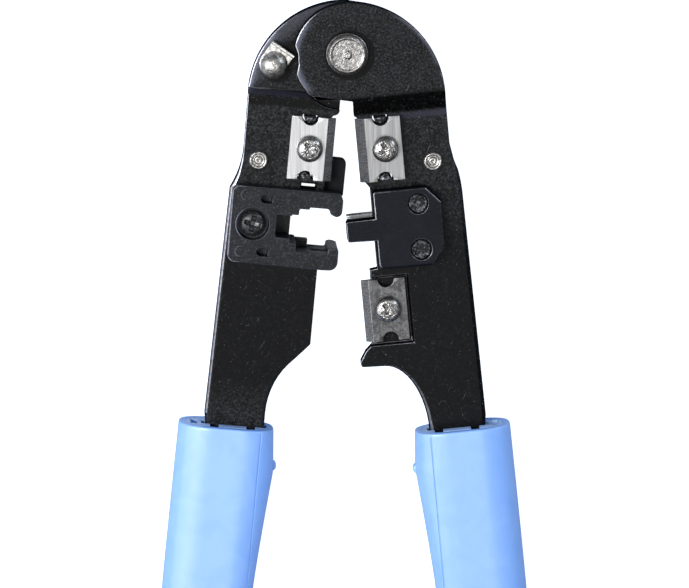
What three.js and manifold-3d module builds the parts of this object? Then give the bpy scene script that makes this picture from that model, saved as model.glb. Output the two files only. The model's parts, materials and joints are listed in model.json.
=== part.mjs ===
// Modular-plug crimping tool, lying on its back with the jaws open.
// Millimetres. +Z rises out of the face that carries the blades, +Y points to the head, +X to the right.
// Each half is drawn with the jaws shut and the pivot at the origin, then turned open about the pivot.
import * as THREE from "three";
import { mergeVertices } from "three/addons/utils/BufferGeometryUtils.js";
import Module from "manifold-3d";

const wasm = await Module();
wasm.setup();

// ---- Driving dimensions ----
const OPEN_ANGLE = 5.25; // degrees each half is turned from the shut position
const GAP = 0.3; // clearance between pieces that touch on the real tool

const PLATE_T = 2.8; // steel plate thickness
const PLATE_Z = 5.6; // back face of both arms
const DISC_STEP = 1.55; // how far each head disc is pressed out of its arm's plane
const HEAD_R = 22; // outer radius of the head
const HEAD_OFFSET_X = 0.9; // centre of that radius, to the inner side of each half
const HEAD_Y = -10.4;
const DISC_R = 12; // inner boundary of each disc, which the other half turns on
const DISC_Y = -0.66;
const DISC_CHORD = [9, -8.65]; // where that boundary leaves the circle
const DISC_END = [0.35, -10.9]; // and where it meets the arm's inner edge

const PIVOT_SHANK_R = 3.4;
const PIVOT_HEAD_R = 4.7;
const LATCH_PIVOT = [-15.9, -4.1];
const LATCH_ANGLE = -30; // direction of the latch's square end edge, degrees

const BLADE_T = 2;
const SCREW_R = 1.45;
const SCREW_HEAD_R = 2.95;
const PIN_R = 1.4;
const LEFT_BLADE = { x0: -10.95, x1: -1.0, y0: -29.0, y1: -14.75, screw: [-6.44, -21.85], notchX: -6.8 };
const RIGHT_BLADE = { x0: 0.35, x1: 10.4, y0: -29.3, y1: -14.85, screw: [6.48, -22.0], notchX: 6.03 };
const CUTTER = { x0: -1.55, x1: 8.24, y0: -65.75, y1: -51.65, screw: [3.83, -58.4], notchX: 4.0 };
const CUTTER_SEAT_Z = 6.9; // floor of the cutter's pocket in the right arm
const SIGHT_SLIT = [-7.35, -31.4, -4.05, -30.1]; // shows the end of a stripped cable

const DIE_FRONT_Z = 12.4;
const DIE_SCREW = [-17.63, -39.63];
const DIE_SLOT = { x0: -16.3, x1: -10, deepTo: -13.75, halfWidth: 0.95, deep: 3, shallow: 0.35 };
const PLUG_Y = -39.95; // middle of the plug cavity
const PLUG_HALF = 5.05; // half the cavity's width, for a 9.7 mm plug
const LATCH_HALF = 3.15; // half the width of the channel for the plug's locking tab
const PRESS_FRONT_Z = 12.5;
const PRESS_RIVETS = [[12.67, -34.76], [12.48, -45.2]];
const CONTACTS = 6;
const CONTACT_PITCH = 1.02;

const SPRING_RIVET_LEFT = [-17.5, -25.65];
const SPRING_RIVET_RIGHT = [16.95, -26.1];
const SPRING_WIRE_R = 0.7;
const SPRING_Z = 3;
const SPRING_ARCH_R = 6.9;
const SPRING_EYE_R = 2.4;

const HANDLE = { thickness: 14, width: 21.8, end: -184, wall: 1.6, coreEnd: -150, nubY: -96 };
const LEFT_HANDLE = { x: -19.2, top: -86.3, armX: [-24.5, -10.8] };
const RIGHT_HANDLE = { x: 18.2, top: -87.2, armX: [23.85, 10.8] };
const TANG_END = -146;
const MOUTH_END = -91.6; // where the wide mouth of a handle liner narrows to the tang
// Openings in a liner's front end; X runs from the middle of the handle to its outer side
const LINER = {
  notchX: [-5.35, 2.85],
  grooveX: [-7.5, 5.8],
  grooveZ: 11.2,
  coringX: [6.7, 8.2],
  coringZ: [4.6, 9.4],
};

// ---- Colours and finishes ----
const FINISH = {
  blackSteel: { color: 0x17171a, roughness: 0.35, metalness: 0.6 },
  blackPlastic: { color: 0x0c0c0d, roughness: 0.45, metalness: 0 },
  pressBlack: { color: 0x121519, roughness: 0.3, metalness: 0.4 },
  blade: { color: 0xc8c8c6, roughness: 0.3, metalness: 1 },
  cutter: { color: 0x77777a, roughness: 0.42, metalness: 1 },
  plated: { color: 0xb9b7b2, roughness: 0.35, metalness: 1 },
  blackScrew: { color: 0x101012, roughness: 0.35, metalness: 0.8 },
  handle: { color: 0x7cb0ef, roughness: 0.4, metalness: 0 },
  handleCore: { color: 0x4f83cf, roughness: 0.5, metalness: 0 },
};

// ---- Drawing helpers ----
const radians = (degrees) => (degrees * Math.PI) / 180;

function arc([cx, cy], r, from, to, steps = 12) {
  const points = [];
  for (let i = 0; i <= steps; i += 1) {
    const a = radians(from + ((to - from) * i) / steps);
    points.push([cx + r * Math.cos(a), cy + r * Math.sin(a)]);
  }
  return points;
}

function box2(x0, y0, x1, y1) {
  return [[x0, y0], [x1, y0], [x1, y1], [x0, y1]];
}

function mirrored(points) {
  return points.map(([x, y]) => [-x, y]);
}

// Which way each of an extrusion's own axes points in the part
const DIRECTIONS = {
  z: [new THREE.Vector3(1, 0, 0), new THREE.Vector3(0, 1, 0), new THREE.Vector3(0, 0, 1)],
  x: [new THREE.Vector3(0, 1, 0), new THREE.Vector3(0, 0, 1), new THREE.Vector3(1, 0, 0)],
  y: [new THREE.Vector3(0, 0, 1), new THREE.Vector3(1, 0, 0), new THREE.Vector3(0, 1, 0)],
};

function extruded(points, from, to, along = "z") {
  const shape = new THREE.Shape(points.map(([x, y]) => new THREE.Vector2(x, y)));
  const geometry = new THREE.ExtrudeGeometry(shape, { depth: to - from, bevelEnabled: false });
  geometry.translate(0, 0, from);
  geometry.applyMatrix4(new THREE.Matrix4().makeBasis(...DIRECTIONS[along]));
  return geometry;
}

function turned(profile, [x, y], segments = 20) {
  const geometry = new THREE.LatheGeometry(profile.map(([r, z]) => new THREE.Vector2(r, z)), segments);
  geometry.rotateX(Math.PI / 2);
  geometry.translate(x, y, 0);
  return geometry;
}

// A closed skin through a row of equal rings of [x, y, z] points
function lofted(rings) {
  const sides = rings[0].length;
  const positions = rings.flat(2);
  const index = [];
  for (let k = 0; k + 1 < rings.length; k += 1) {
    for (let i = 0; i < sides; i += 1) {
      const a = k * sides + i;
      const b = k * sides + ((i + 1) % sides);
      index.push(a, b, b + sides, a, b + sides, a + sides);
    }
  }
  const last = (rings.length - 1) * sides;
  for (let i = 1; i + 1 < sides; i += 1) {
    index.push(0, i + 1, i);
    index.push(last, last + i, last + i + 1);
  }
  const geometry = new THREE.BufferGeometry();
  geometry.setAttribute("position", new THREE.Float32BufferAttribute(positions, 3));
  geometry.setIndex(index);
  return geometry;
}

function solid(geometry) {
  geometry.deleteAttribute("normal");
  geometry.deleteAttribute("uv");
  const merged = mergeVertices(geometry, 1e-4);
  return new wasm.Manifold(new wasm.Mesh({
    numProp: 3,
    vertProperties: new Float32Array(merged.attributes.position.array),
    triVerts: new Uint32Array(merged.index.array),
  }));
}

const plate = (points, z0, z1) => solid(extruded(points, z0, z1));
const round = (centre, r, z0, z1, segments = 24) => plate(arc(centre, r, 0, 360, segments).slice(1), z0, z1);
const lathe = (profile, centre, segments) => solid(turned(profile, centre, segments));
const cut = (body, ...tools) => tools.reduce((left, tool) => left.subtract(tool), body);
const join = (body, ...others) => others.reduce((sum, other) => sum.add(other), body);

function mesh(name, body, finish) {
  const { vertProperties, triVerts } = body.getMesh();
  const geometry = new THREE.BufferGeometry();
  geometry.setAttribute("position", new THREE.Float32BufferAttribute(vertProperties, 3));
  geometry.setIndex(Array.from(triVerts));
  geometry.computeVertexNormals();
  const part = new THREE.Mesh(geometry, new THREE.MeshStandardMaterial(finish));
  part.name = name;
  return part;
}

// ---- Steel halves ----
// Inner boundary of a head disc, from the top round to the arm, drawn for the half on the right
function discEdge(notched) {
  const centre = [0, DISC_Y];
  const chordAngle = 180 + (Math.atan2(DISC_Y - DISC_CHORD[1], DISC_CHORD[0]) * 180) / Math.PI;
  if (!notched) return [...arc(centre, DISC_R, 86, chordAngle, 36), DISC_END];
  return [
    ...arc(centre, DISC_R, 86, 162, 20),
    ...arc(centre, DISC_R - 1.05, 173, 183, 4),
    ...arc(centre, DISC_R, 194, chordAngle, 8),
    DISC_END,
  ];
}

// Head seen on its own, used to give the other half room to turn
function discBlank(z0, z1) {
  return plate(arc([0, DISC_Y], DISC_R + GAP, 0, 360, 48).slice(1), z0, z1);
}

// Plate of one thickness that steps from the arm's plane to the disc's plane between two heights
function steppedSheet(step, yArm, yDisc) {
  const back = [[-200, PLATE_Z], [yArm, PLATE_Z], [yDisc, PLATE_Z + step], [40, PLATE_Z + step]];
  const front = back.map(([y, z]) => [y, z + PLATE_T]).reverse();
  return solid(extruded([...back, ...front], -60, 60, "x"));
}

function blankHoles(points, r = SCREW_R + GAP) {
  return points.map((centre) => round(centre, r, -1, 20));
}

// Half-round pins at the two ends of a blade; each keeps the side that faces the blade's middle
function locatingPins(blade) {
  return [
    { centre: [blade.notchX, blade.y1 - 0.1], facing: -1 },
    { centre: [blade.notchX, blade.y0 + 0.35], facing: 1 },
  ];
}

function facingHalf({ centre: [x, y], facing }, r, pastFlat) {
  const [low, high] = [y - facing * pastFlat, y + facing * (r + 1)].sort((a, b) => a - b);
  return plate(box2(x - r - 1, low, x + r + 1, high), -1, 20);
}

function pinHoles(blade) {
  const r = PIN_R + GAP;
  return locatingPins(blade).map((pin) => round(pin.centre, r, -1, 20).intersect(facingHalf(pin, r, GAP)));
}

function leftFrame() {
  const fingerArc = arc([7.2, -83], 18, 180, 134, 8);
  const outline = [
    [-14.5, TANG_END], [-14.5, -90], [LEFT_HANDLE.armX[1], -88],
    ...fingerArc,
    [-3.1, -67.6],
    ...arc([-3.1, -66.1], 1, -45, 0, 3),
    [-2.1, -47.9], [-13.8, -47.9], [-13.8, -32.7], [-2.1, -32.7],
    [-2.1, -14.9],
    ...arc([-1.55, -13.1], 1.2, -90, 0, 5),
    ...mirrored(discEdge(false)).reverse(),
    ...arc([HEAD_OFFSET_X, HEAD_Y], HEAD_R, 95, 180, 40),
    ...arc([-41.4, -23], 20.4, 0, -27.5, 6),
    [LEFT_HANDLE.armX[0], -84], [-23.5, -90], [-23.5, TANG_END],
  ];
  const sheet = plate(outline, 0, 14).intersect(steppedSheet(-DISC_STEP, -10.9, -9.7));
  const discRoom = discBlank(PLATE_Z + PLATE_T - DISC_STEP, 14);
  const sightSlit = plate(box2(...SIGHT_SLIT), 0, 14);
  const pivotHole = round([0, 0], PIVOT_SHANK_R + GAP, 0, 14, 32);
  const holes = blankHoles([LEFT_BLADE.screw, DIE_SCREW, SPRING_RIVET_LEFT, LATCH_PIVOT]);
  return cut(sheet, discRoom, sightSlit, pivotHole, ...pinHoles(LEFT_BLADE), ...holes);
}

function rightFrame() {
  const fingerCurve = arc([0, 0], 1, 90, 8, 12).map(([x, y]) => [1.77 + 9.1 * x, 16.4 * y - 88]);
  const outline = [
    ...discEdge(true),
    [0.35, -14.4], [1.4, -15.2], [1.5, -29.6],
    [2.45, -30.9], [2.4, -49.2], [0.7, -49.4], [0.6, -66.1], [-0.2, -66.2],
    [-1.9, -67.8], [-3.2, -69.9],
    ...arc([-2.6, -70.75], 0.65, 170, 270, 4),
    ...fingerCurve,
    [RIGHT_HANDLE.armX[1], -89], [14.5, -91], [14.5, TANG_END], [23, TANG_END], [23, -91],
    [RIGHT_HANDLE.armX[0], -85], [23.05, -33.5],
    [22.9, -31.4], [22.5, -28.7], [21.75, -26.3], [21.1, -22.5],
    ...arc([-HEAD_OFFSET_X, HEAD_Y], HEAD_R, 0, 85, 40),
  ];
  const sheet = plate(outline, 0, 14).intersect(steppedSheet(DISC_STEP, -14.2, -10.4));
  const discRoom = discBlank(0, PLATE_Z + DISC_STEP);
  const pocket = plate(box2(-4, CUTTER.y0 - 0.9, CUTTER.x1 + 0.75, CUTTER.y1 + 0.45), CUTTER_SEAT_Z, 14);
  const pivotHole = round([0, 0], PIVOT_SHANK_R + GAP, 0, 14, 32);
  const holes = blankHoles([RIGHT_BLADE.screw, CUTTER.screw, SPRING_RIVET_RIGHT, ...PRESS_RIVETS]);
  return cut(sheet, discRoom, pocket, pivotHole, ...pinHoles(RIGHT_BLADE), ...holes);
}

// ---- Rivets, latch and spring ----
function pivotRivet() {
  const tailTop = PLATE_Z - DISC_STEP - GAP;
  const headBase = PLATE_Z + PLATE_T + DISC_STEP + GAP;
  return lathe([
    [0, 1.4], [3.6, 1.4], [4.3, 1.9], [4.4, tailTop], [PIVOT_SHANK_R, tailTop],
    [PIVOT_SHANK_R, headBase], [PIVOT_HEAD_R, headBase], [PIVOT_HEAD_R, headBase + 0.7],
    [PIVOT_HEAD_R - 0.45, headBase + 2], [3.5, headBase + 2.1], [3.3, headBase + 1.85], [0, headBase + 1.9],
  ], [0, 0], 32);
}

const LATCH_Z = PLATE_Z - DISC_STEP + PLATE_T + GAP;

// Square-ended tab with a round end under its rivet and a thumb lip along the square end
function swivelLatch() {
  const halfWidth = 3;
  const reach = 3.75;
  const outline = [[-halfWidth, reach], ...arc([0, 0], halfWidth, 180, 360, 12), [halfWidth, reach]];
  const tab = plate(outline, LATCH_Z, LATCH_Z + 1.1);
  const lip = plate(box2(-halfWidth, reach - 0.05, halfWidth, reach + 0.65), LATCH_Z, LATCH_Z + 2.3);
  const hole = round([0, 0], SCREW_R + GAP, 0, 14);
  const tabOffset = [-0.35, 0, 0];
  const drilled = cut(join(tab, lip).translate(tabOffset), hole);
  return drilled.rotate([0, 0, LATCH_ANGLE]).translate([...LATCH_PIVOT, 0]);
}

function latchRivet() {
  const tail = PLATE_Z - DISC_STEP - GAP;
  const base = LATCH_Z + 1.1 + GAP;
  const dome = arc([0, base], 3.05, 0, 90, 6).map(([r, z]) => [r, base + (z - base) * 0.8]);
  const profile = [[0, tail - 1.5], [2.3, tail - 1.5], [2.6, tail], [SCREW_R, tail], [SCREW_R, base]];
  return lathe([...profile, ...dome.slice(0, -1), [0, base + 2.44]], LATCH_PIVOT);
}

// Hollow rivet: a rolled ring with a dimple in front, a long barrel behind for the spring's eye
function springRivet(centre) {
  const front = PLATE_Z + PLATE_T + GAP;
  return lathe([
    [0, 1.3], [1.9, 1.3], [2.1, 1.6], [2.1, 2], [SCREW_R, 2], [SCREW_R, front],
    [2.1, front], [2.15, front + 0.5], [1.8, front + 0.9], [1.3, front + 0.85],
    [0.8, front + 0.2], [0, front + 0.2],
  ], centre, 18);
}

// Flat coordinates of a rivet centre once its half is turned open
function opened([x, y], side) {
  const a = radians(side * OPEN_ANGLE);
  return [x * Math.cos(a) - y * Math.sin(a), x * Math.sin(a) + y * Math.cos(a)];
}

// Wire arch over the pivot rivet's tail, with an eye round each spring rivet
function springPath() {
  const left = opened(SPRING_RIVET_LEFT, -1);
  const right = opened(SPRING_RIVET_RIGHT, 1);
  const points = [
    ...arc(left, SPRING_EYE_R, -100, 150, 10),
    ...arc([0, 0], SPRING_ARCH_R, 170, 10, 12),
    ...arc(right, SPRING_EYE_R, 30, 280, 10),
  ];
  const placed = points.map(([x, y]) => new THREE.Vector3(x, y, SPRING_Z));
  return new THREE.CatmullRomCurve3(placed, false, "centripetal");
}

function returnSpring() {
  const section = new THREE.Shape(arc([0, 0], SPRING_WIRE_R, 0, 360, 7).slice(1)
    .map(([x, y]) => new THREE.Vector2(x, y)));
  const options = { steps: 64, extrudePath: springPath(), bevelEnabled: false };
  return solid(new THREE.ExtrudeGeometry(section, options));
}

// ---- Blades and their fixings ----
// Flat blade ground to an edge along one long side, with a half-round notch in each end
function blade(spec, z, bevel) {
  const edge = spec.x0 + spec.x1 < 0 ? spec.x1 : spec.x0;
  const spine = spec.x0 + spec.x1 < 0 ? spec.x0 : spec.x1;
  const inward = Math.sign(spine - edge);
  const top = z + BLADE_T;
  const section = [[z, spine], [z, edge], [z + 0.25, edge], [top, edge + inward * bevel], [top, spine]];
  const body = solid(extruded(inward > 0 ? section.reverse() : section, spec.y0, spec.y1, "y"));
  const notchR = PIN_R + GAP + 0.1;
  const notches = [spec.y0 + 0.3, spec.y1 - 0.1].map((y) => round([spec.notchX, y], notchR, 0, 14));
  return cut(body, round(spec.screw, SCREW_R + GAP, 0, 14), ...notches);
}

function crossRecess([x, y], top, size, depth) {
  const bar = (w, h) => plate(box2(x - w, y - h, x + w, y + h), top - depth, top + 1);
  return join(bar(size, 0.42), bar(0.42, size));
}

function bladeScrew(spec, bladeZ, turn) {
  const base = bladeZ + BLADE_T + GAP;
  const screw = lathe([
    [0, 4.2], [SCREW_R - 0.3, 4.2], [SCREW_R, 4.6], [SCREW_R, base],
    [SCREW_HEAD_R, base], [SCREW_HEAD_R, base + 0.9], [SCREW_HEAD_R - 0.7, base + 1.8],
    [SCREW_HEAD_R - 1.7, base + 2.15], [0, base + 2.2],
  ], [0, 0], 20);
  const recessed = cut(screw, crossRecess([0, 0], base + 2.2, 1.75, 1.1));
  return recessed.rotate([0, 0, turn]).translate([...spec.screw, 0]);
}

function locatingPin(pin) {
  const top = PLATE_Z + PLATE_T + GAP + BLADE_T - 0.6;
  const wholePin = lathe([
    [0, PLATE_Z], [PIN_R, PLATE_Z], [PIN_R, top], [1.1, top + 0.45], [0.5, top + 0.65], [0, top + 0.7],
  ], pin.centre, 18);
  return wholePin.intersect(facingHalf(pin, PIN_R, 0));
}

// Dark stop plate behind the left strip blade that sets how much jacket is stripped
function stripStop() {
  const outline = [
    [-10.2, -32.7], [2.3, -32.7],
    ...arc([1.1, -25.5], 1.25, 0, 90, 4),
    [-1.6, -24.2], [-1.6, -18.2], [-10.2, -18.2],
  ];
  const holes = blankHoles([LEFT_BLADE.screw, locatingPins(LEFT_BLADE)[1].centre]);
  const sightSlit = plate(box2(...SIGHT_SLIT), 0, 14);
  return cut(plate(outline, PLATE_Z - GAP - 2.6, PLATE_Z - GAP), sightSlit, ...holes);
}

// ---- Crimping die on the left arm ----
function dieOutline() {
  return [
    ...arc([-21, -46.75], 1.75, 180, 268, 5),
    [-1.3, -48.8],
    ...arc([0.15, -46.8], 1.95, -85, 5, 6),
    ...arc([1.3, -44.4], 0.75, 0, 90, 3),
    [0.35, -43.5], [-0.5, -43.75], [-0.5, PLUG_Y - PLUG_HALF],
    [-7.5, PLUG_Y - PLUG_HALF], [-7.5, PLUG_Y - LATCH_HALF], [-9, PLUG_Y - LATCH_HALF],
    [-9, PLUG_Y + LATCH_HALF], [-7.5, PLUG_Y + LATCH_HALF], [-7.5, PLUG_Y + PLUG_HALF - 0.5],
    [-5.2, PLUG_Y + PLUG_HALF - 0.5], [-5.2, PLUG_Y + PLUG_HALF], [-0.9, PLUG_Y + PLUG_HALF],
    [-0.5, -36.1],
    ...arc([0.85, -35.3], 1.25, -105, -10, 4),
    ...arc([0.2, -33.1], 1.9, 0, 85, 6),
    ...arc([-21.1, -32.9], 1.7, 92, 178, 5),
  ];
}

function ejectorMarks() {
  const centres = [[-19.6, -33.2], [-19.9, -46.0], [-2.2, -46.9], [-2.4, -32.9]];
  return centres.map((centre) => round(centre, 1.15, DIE_FRONT_Z - 0.25, 14, 16));
}

// Round-ended slot, deep at its left end and a shallow recess along the rest
function dieSlot(y) {
  const { x0, x1, deepTo, halfWidth, deep, shallow } = DIE_SLOT;
  const leftEnd = arc([x0 + halfWidth, y], halfWidth, 90, 270, 6);
  const rightEnd = arc([x1 - halfWidth, y], halfWidth, -90, 90, 6);
  const well = [...leftEnd, [deepTo, y - halfWidth], [deepTo, y + halfWidth]];
  return join(
    plate(well, DIE_FRONT_Z - deep, 14),
    plate([...leftEnd, ...rightEnd], DIE_FRONT_Z - shallow, 14),
  );
}

function crimpDie() {
  const flange = plate(dieOutline(), PLATE_Z + PLATE_T + GAP, DIE_FRONT_Z);
  const opening = plate(box2(-13.5, -47.6, 3, -33), 0, 14);
  const boss = plate(dieOutline(), 0, PLATE_Z + PLATE_T + 1).intersect(opening);
  const backLedge = plate(box2(-8, PLUG_Y - PLUG_HALF - 0.2, -4.7, PLUG_Y - LATCH_HALF - 0.2), 1.5, 4);
  const tabRecess = plate(box2(-12.4, -42.1, -8.9, -37.1), 5.2, 14);
  const wallGroove = plate(box2(-3.8, PLUG_Y - PLUG_HALF - 1.4, -0.5, PLUG_Y - PLUG_HALF + 0.1), 6.3, 8.5);
  const slots = [-33.8, -45.8].map(dieSlot);
  const screwSeat = round(DIE_SCREW, 3.6, DIE_FRONT_Z - 2.1, 14, 32);
  const screwHole = round(DIE_SCREW, SCREW_R + GAP, 0, 14);
  const body = join(flange, boss, backLedge);
  return cut(body, tabRecess, wallGroove, ...slots, screwSeat, screwHole, ...ejectorMarks());
}

function dieScrew() {
  const base = DIE_FRONT_Z - 2.1 + GAP;
  const screw = lathe([
    [0, 4.2], [SCREW_R - 0.3, 4.2], [SCREW_R, 4.6], [SCREW_R, base], [2.9, base],
    [2.9, base + 0.9], [2.4, base + 1.5], [1.4, base + 1.7], [0, base + 1.75],
  ], [0, 0], 20);
  const recessed = cut(screw, crossRecess([0, 0], base + 1.75, 1.8, 1));
  return recessed.rotate([0, 0, 80]).translate([...DIE_SCREW, 0]);
}

// ---- Press block and contact punch on the right arm ----
function pressBlock() {
  const outline = [
    [3.1, -31.2], [14.6, -31.2], [18.0, -34.9], [17.85, -45.3], [14.8, -49], [3.2, -48.85], [2.75, -48],
    [2.75, -42.3], [-3.2, -42.1],
    ...arc([-3.2, -41.5], 0.6, 270, 180, 3),
    ...arc([-3.2, -38], 0.6, 180, 90, 3),
    [2.75, -37.3], [2.75, -31.7],
  ];
  const counterbores = PRESS_RIVETS.map((centre) => round(centre, 2.3, PRESS_FRONT_Z - 1.1, 14));
  const body = plate(outline.reverse(), PLATE_Z + PLATE_T + GAP, PRESS_FRONT_Z);
  return cut(body, ...blankHoles(PRESS_RIVETS), ...counterbores);
}

function pressRivet(centre) {
  const head = PRESS_FRONT_Z - 1.1 + GAP;
  return lathe([
    [0, 1], [2.3, 1], [2.6, 1.4], [2.6, 2.1], [SCREW_R, 2.1], [SCREW_R, head], [1.98, head],
    [1.98, PRESS_FRONT_Z - 0.15], [1.75, PRESS_FRONT_Z - 0.05], [1.6, PRESS_FRONT_Z - 0.2],
    [0, PRESS_FRONT_Z - 0.2],
  ], centre, 18);
}

// Steel punch behind the right arm, with one tooth for each contact of the plug
function contactPunch() {
  const halfComb = ((CONTACTS - 1) * CONTACT_PITCH) / 2 + 0.3;
  const shank = plate(box2(7.5, -47.8, 15.6, -32.2), 2.4, PLATE_Z - GAP);
  const neck = plate(box2(-2.3, PLUG_Y - halfComb, 8, PLUG_Y + halfComb), 2.4, PLATE_Z - GAP);
  const teeth = [];
  for (let i = 0; i < CONTACTS; i += 1) {
    const y = PLUG_Y + (i - (CONTACTS - 1) / 2) * CONTACT_PITCH;
    teeth.push(plate(box2(-3.3, y - 0.25, -2.2, y + 0.25), 2.4, PLATE_Z - GAP));
  }
  return cut(join(shank, neck, ...teeth), ...blankHoles(PRESS_RIVETS));
}

// ---- Handles ----
// How far the inner side draws back from its widest point, at the nub, on the way to either end
function innerRelief(y) {
  if (y > HANDLE.nubY) return 0.085 * (y - HANDLE.nubY);
  const along = (HANDLE.nubY - y) / (HANDLE.nubY - HANDLE.end);
  return 2.3 * Math.sin(Math.PI * along) + 0.8 * along;
}

// Rounded section of a handle at one height, grown or shrunk by an inset
function handleRing(y, side, centreX, inset, squeeze = 1, sides = 26) {
  const along = (y + 87) / (HANDLE.end + 87);
  const inner = HANDLE.width / 2 + 0.5 - inset - innerRelief(y);
  const outer = HANDLE.width / 2 - inset + 0.5 * Math.sin(Math.PI * along);
  const half = HANDLE.thickness / 2 - inset;
  const ring = [];
  for (let i = 0; i < sides; i += 1) {
    const a = (2 * Math.PI * i) / sides;
    const c = Math.sign(Math.cos(a)) * Math.abs(Math.cos(a)) ** 0.7;
    const s = Math.sign(Math.sin(a)) * Math.min(1, 1.02 * Math.abs(Math.sin(a)) ** 0.7);
    const reach = c > 0 ? outer : inner;
    ring.push([centreX + side * c * reach * squeeze, y, HANDLE.thickness / 2 + s * half * squeeze]);
  }
  return side > 0 ? ring : ring.reverse();
}

function handleLoft(side, centreX, top, end, inset, roundEnd) {
  const rings = [];
  const stations = 8;
  for (let k = 0; k <= stations; k += 1) {
    const y = top + ((end + roundEnd - top) * k) / stations;
    rings.push(handleRing(y, side, centreX, inset));
  }
  const capSteps = 5;
  const capSweep = 1.35;
  for (let k = 1; roundEnd > 0 && k <= capSteps; k += 1) {
    const a = (k / capSteps) * capSweep;
    const y = end + roundEnd * (1 - Math.sin(a) / Math.sin(capSweep));
    rings.push(handleRing(y, side, centreX, inset, Math.cos(a) ** 0.6));
  }
  return solid(lofted(rings));
}

function handleShell(side, spec) {
  const body = handleLoft(side, spec.x, spec.top, HANDLE.end, 0, 7);
  const nubX = spec.x - side * (HANDLE.width / 2 - 0.2);
  const nub = lathe([[0, 5.6], [1, 5.6], [1.25, 7], [1, 8.4], [0, 8.4]], [nubX, spec.top - 8.7], 14);
  const cavity = handleLoft(side, spec.x, spec.top + 1, HANDLE.coreEnd - GAP, HANDLE.wall, 0);
  return cut(join(body, nub), cavity);
}

// Ribbed liner between the shell and the arm's tang; its front edge is castellated
function handleCore(side, spec) {
  const body = handleLoft(side, spec.x, spec.top - 1.2, HANDLE.coreEnd, HANDLE.wall + GAP, 0);
  const low = PLATE_Z - GAP;
  const high = PLATE_Z + PLATE_T + GAP;
  const middle = Math.abs(spec.x);
  const opening = (x0, x1, end, z0, z1) => {
    const [left, right] = [side * x0, side * x1].sort((a, b) => a - b);
    return plate(box2(left, end, right, -80), z0, z1);
  };
  const inEnd = ([x0, x1], depth, z0, z1) => opening(middle + x0, middle + x1, spec.top - depth, z0, z1);
  const mouth = opening(10.3, 25, MOUTH_END, low, high);
  const slot = opening(14.2, 23.9, TANG_END - GAP, low, high);
  const notches = LINER.notchX.map((x) => inEnd([x - 1, x + 1], 5, high - 0.1, 14));
  const groove = inEnd(LINER.grooveX, 4, LINER.grooveZ, 14);
  const coring = inEnd(LINER.coringX, 9, ...LINER.coringZ);
  return cut(body, mouth, slot, groove, coring, ...notches);
}

// ---- Assembly ----
function leftHalf() {
  const half = new THREE.Group();
  const bladeZ = PLATE_Z + PLATE_T + GAP;
  const pins = locatingPins(LEFT_BLADE);
  half.add(
    mesh("left_frame", leftFrame(), FINISH.blackSteel),
    mesh("pivot_rivet", pivotRivet(), FINISH.plated),
    mesh("swivel_latch", swivelLatch(), FINISH.plated),
    mesh("latch_rivet", latchRivet(), FINISH.plated),
    mesh("left_spring_rivet", springRivet(SPRING_RIVET_LEFT), FINISH.plated),
    mesh("left_strip_blade", blade(LEFT_BLADE, bladeZ, 1.8), FINISH.blade),
    mesh("left_blade_screw", bladeScrew(LEFT_BLADE, bladeZ, 38), FINISH.plated),
    mesh("left_pin_upper", locatingPin(pins[0]), FINISH.blackSteel),
    mesh("left_pin_lower", locatingPin(pins[1]), FINISH.blackSteel),
    mesh("strip_stop", stripStop(), FINISH.blackPlastic),
    mesh("crimp_die", crimpDie(), FINISH.blackPlastic),
    mesh("die_screw", dieScrew(), FINISH.blackScrew),
    mesh("left_handle_shell", handleShell(-1, LEFT_HANDLE), FINISH.handle),
    mesh("left_handle_core", handleCore(-1, LEFT_HANDLE), FINISH.handleCore),
  );
  half.rotation.z = radians(-OPEN_ANGLE);
  return half;
}

function rightHalf() {
  const half = new THREE.Group();
  const bladeZ = PLATE_Z + PLATE_T + GAP;
  const pins = locatingPins(RIGHT_BLADE);
  half.add(
    mesh("right_frame", rightFrame(), FINISH.blackSteel),
    mesh("right_spring_rivet", springRivet(SPRING_RIVET_RIGHT), FINISH.plated),
    mesh("right_strip_blade", blade(RIGHT_BLADE, bladeZ, 2), FINISH.blade),
    mesh("right_blade_screw", bladeScrew(RIGHT_BLADE, bladeZ, 22), FINISH.plated),
    mesh("right_pin_upper", locatingPin(pins[0]), FINISH.blackSteel),
    mesh("right_pin_lower", locatingPin(pins[1]), FINISH.blackSteel),
    mesh("cutter_blade", blade(CUTTER, CUTTER_SEAT_Z + GAP, 1.6), FINISH.cutter),
    mesh("cutter_screw", bladeScrew(CUTTER, CUTTER_SEAT_Z + GAP, 31), FINISH.plated),
    mesh("press_block", pressBlock(), FINISH.pressBlack),
    mesh("contact_punch", contactPunch(), FINISH.blade),
    mesh("press_rivet_upper", pressRivet(PRESS_RIVETS[0]), FINISH.blackSteel),
    mesh("press_rivet_lower", pressRivet(PRESS_RIVETS[1]), FINISH.blackSteel),
    mesh("right_handle_shell", handleShell(1, RIGHT_HANDLE), FINISH.handle),
    mesh("right_handle_core", handleCore(1, RIGHT_HANDLE), FINISH.handleCore),
  );
  half.rotation.z = radians(OPEN_ANGLE);
  return half;
}

const tool = new THREE.Group();
tool.add(leftHalf(), rightHalf(), mesh("return_spring", returnSpring(), FINISH.plated));

// The origin is the middle of the underside of the tool's bounding box
tool.updateMatrixWorld(true);
const extent = new THREE.Box3().setFromObject(tool, true);
const middle = extent.getCenter(new THREE.Vector3());
tool.position.set(-middle.x, -middle.y, -extent.min.z);

const assembly = new THREE.Group();
assembly.add(tool);
export default assembly;
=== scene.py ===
# Looks of a modular-plug crimping tool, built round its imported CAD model.
import json
import math

import bmesh
import bpy
from mathutils import Matrix, Vector, noise
from mathutils.geometry import delaunay_2d_cdt


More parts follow.
